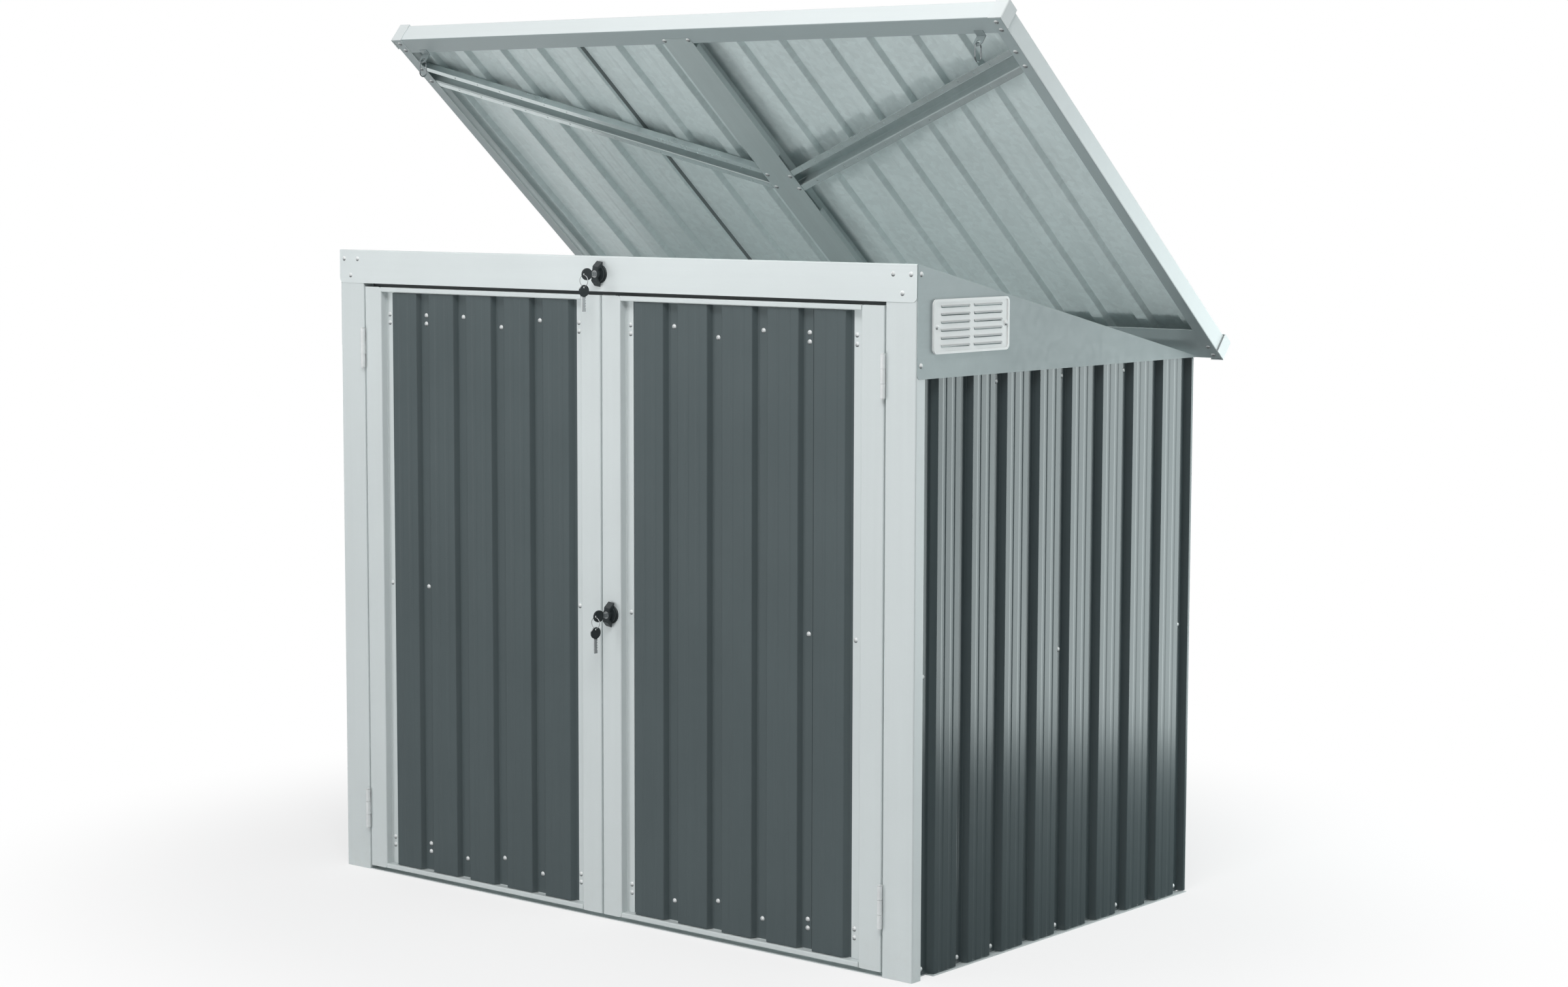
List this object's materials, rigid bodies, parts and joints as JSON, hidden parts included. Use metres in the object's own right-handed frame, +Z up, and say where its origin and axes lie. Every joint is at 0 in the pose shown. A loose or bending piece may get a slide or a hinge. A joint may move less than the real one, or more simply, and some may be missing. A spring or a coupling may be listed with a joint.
{
  "type": "wheelie bin store",
  "caption": "Ribbed steel store for wheelie bins, with outward-opening front doors, a lifting lid, vented gables and keyed locks.",
  "frame": {"origin": "on the ground at the middle of the body's footprint, the centre of the four ground anchor holes", "axes": "+X to the right seen from the front, +Y to the back, +Z up"},
  "size_m": [1.5832, 1.0564, 1.7702],
  "materials": {
    "silver_frame": "smooth silver-grey paint on folded steel",
    "galvanised_sheet": "matt zinc-coated sheet",
    "roof_sheet": "matt zinc-coated ribbed sheet seen from below",
    "slate_panel": "satin dark grey paint on ribbed sheet",
    "vent_white": "white moulded plastic",
    "cap_white": "white moulded plastic",
    "zinc_screw": "bright zinc plate",
    "zinc_hinge": "zinc plate",
    "bright_wire": "bare wire",
    "lock_black": "satin black die-cast and moulded parts",
    "key_black": "black moulded key head on a steel blade",
    "key_steel": "nickel-plated ring and key blade"
  },
  "bodies": {
    "store": {"right_front_post": "silver_frame", "left_front_post": "silver_frame", "header": "silver_frame", "rear_posts": "silver_frame", "front_sill": "silver_frame", "side_base_rails": "silver_frame", "side_top_rails": "silver_frame", "mid_rails": "silver_frame", "rear_base_rail": "silver_frame", "rear_top_rail": "silver_frame", "right_side_panel": "slate_panel", "left_side_panel": "slate_panel", "left_rear_panel": "slate_panel", "right_rear_panel": "slate_panel", "right_gable": "galvanised_sheet", "left_gable": "galvanised_sheet", "right_vent": "vent_white", "left_vent": "vent_white", "frame_screws": "zinc_screw", "wall_screws": "zinc_screw", "door_hinge_frame_leaves": "zinc_hinge", "hinge_pins": "zinc_hinge", "lid_hinge_wall_leaves": "zinc_hinge", "header_lock_base": "lock_black"},
    "left_door": {"left_door_hinge_stile": "silver_frame", "left_door_meeting_stile": "silver_frame", "left_door_cross_rails": "silver_frame", "left_door_panel": "slate_panel", "left_door_screws": "zinc_screw", "left_door_hinge_leaves": "zinc_hinge"},
    "right_door": {"right_door_meeting_stile": "silver_frame", "right_door_hinge_stile": "silver_frame", "right_door_cross_rails": "silver_frame", "right_door_panel": "slate_panel", "right_door_screws": "zinc_screw", "right_door_hinge_leaves": "zinc_hinge", "door_lock_base": "lock_black"},
    "lid": {"lid_front_rail": "silver_frame", "lid_rear_rail": "silver_frame", "lid_right_rail": "silver_frame", "lid_left_rail": "silver_frame", "lid_braces": "galvanised_sheet", "lid_strut": "galvanised_sheet", "lid_left_sheet": "roof_sheet", "lid_right_sheet": "roof_sheet", "lid_corner_caps": "cap_white", "lid_loop_lugs": "zinc_hinge", "lid_hinge_leaves": "zinc_hinge", "lid_screws": "zinc_screw"},
    "left_loop": {"left_lid_loop": "bright_wire"},
    "right_loop": {"right_lid_loop": "bright_wire"},
    "header_handle": {"header_lock_handle": "lock_black", "header_lock_cam": "zinc_hinge"},
    "header_key": {"header_lock_key": "key_black"},
    "header_ring": {"header_key_ring": "key_steel"},
    "door_handle": {"door_lock_handle": "lock_black", "door_lock_cam": "zinc_hinge"},
    "door_key": {"door_lock_key": "key_black"},
    "door_ring": {"door_key_ring": "key_steel"}
  },
  "joints": [
    {"name": "left_door_hinge", "type": "hinge", "parent": "store", "child": "left_door", "pos_m": [-0.67825, -0.4718, 0.6145], "axis": [0, 0, -1], "range_deg": [0, 170]},
    {"name": "right_door_hinge", "type": "hinge", "parent": "store", "child": "right_door", "pos_m": [0.6784, -0.4718, 0.6145], "axis": [0, 0, 1], "range_deg": [0, 170]},
    {"name": "lid_hinge", "type": "hinge", "parent": "store", "child": "lid", "pos_m": [0, 0.4865, 1.079], "axis": [-1, 0, 0], "range_deg": [-27.5, 45]},
    {"name": "left_loop_swing", "type": "hinge", "parent": "lid", "child": "left_loop", "pos_m": [-0.722, -0.25146, 1.69404], "axis": [1, 0, 0], "range_deg": [-30, 1]},
    {"name": "right_loop_swing", "type": "hinge", "parent": "lid", "child": "right_loop", "pos_m": [0.722, -0.25146, 1.69404], "axis": [1, 0, 0], "range_deg": [-30, 1]},
    {"name": "header_handle_turn", "type": "hinge", "parent": "store", "child": "header_handle", "pos_m": [-0.013, -0.4675, 1.265], "axis": [0, 1, 0], "range_deg": [0, 90]},
    {"name": "header_key_turn", "type": "hinge", "parent": "header_handle", "child": "header_key", "pos_m": [-0.013, -0.4675, 1.265], "axis": [0, 1, 0], "range_deg": [0, 90]},
    {"name": "header_ring_swing", "type": "hinge", "parent": "header_key", "child": "header_ring", "pos_m": [-0.013, -0.513, 1.2632], "axis": [-1, 0, 0], "range_deg": [-30, 60]},
    {"name": "door_handle_turn", "type": "hinge", "parent": "right_door", "child": "door_handle", "pos_m": [0.0133, -0.4663, 0.606], "axis": [0, -1, 0], "range_deg": [0, 90]},
    {"name": "door_key_turn", "type": "hinge", "parent": "door_handle", "child": "door_key", "pos_m": [0.0133, -0.4663, 0.606], "axis": [0, 1, 0], "range_deg": [0, 90]},
    {"name": "door_ring_swing", "type": "hinge", "parent": "door_key", "child": "door_ring", "pos_m": [0.0133, -0.5118, 0.6042], "axis": [-1, 0, 0], "range_deg": [-30, 60]}
  ]
}
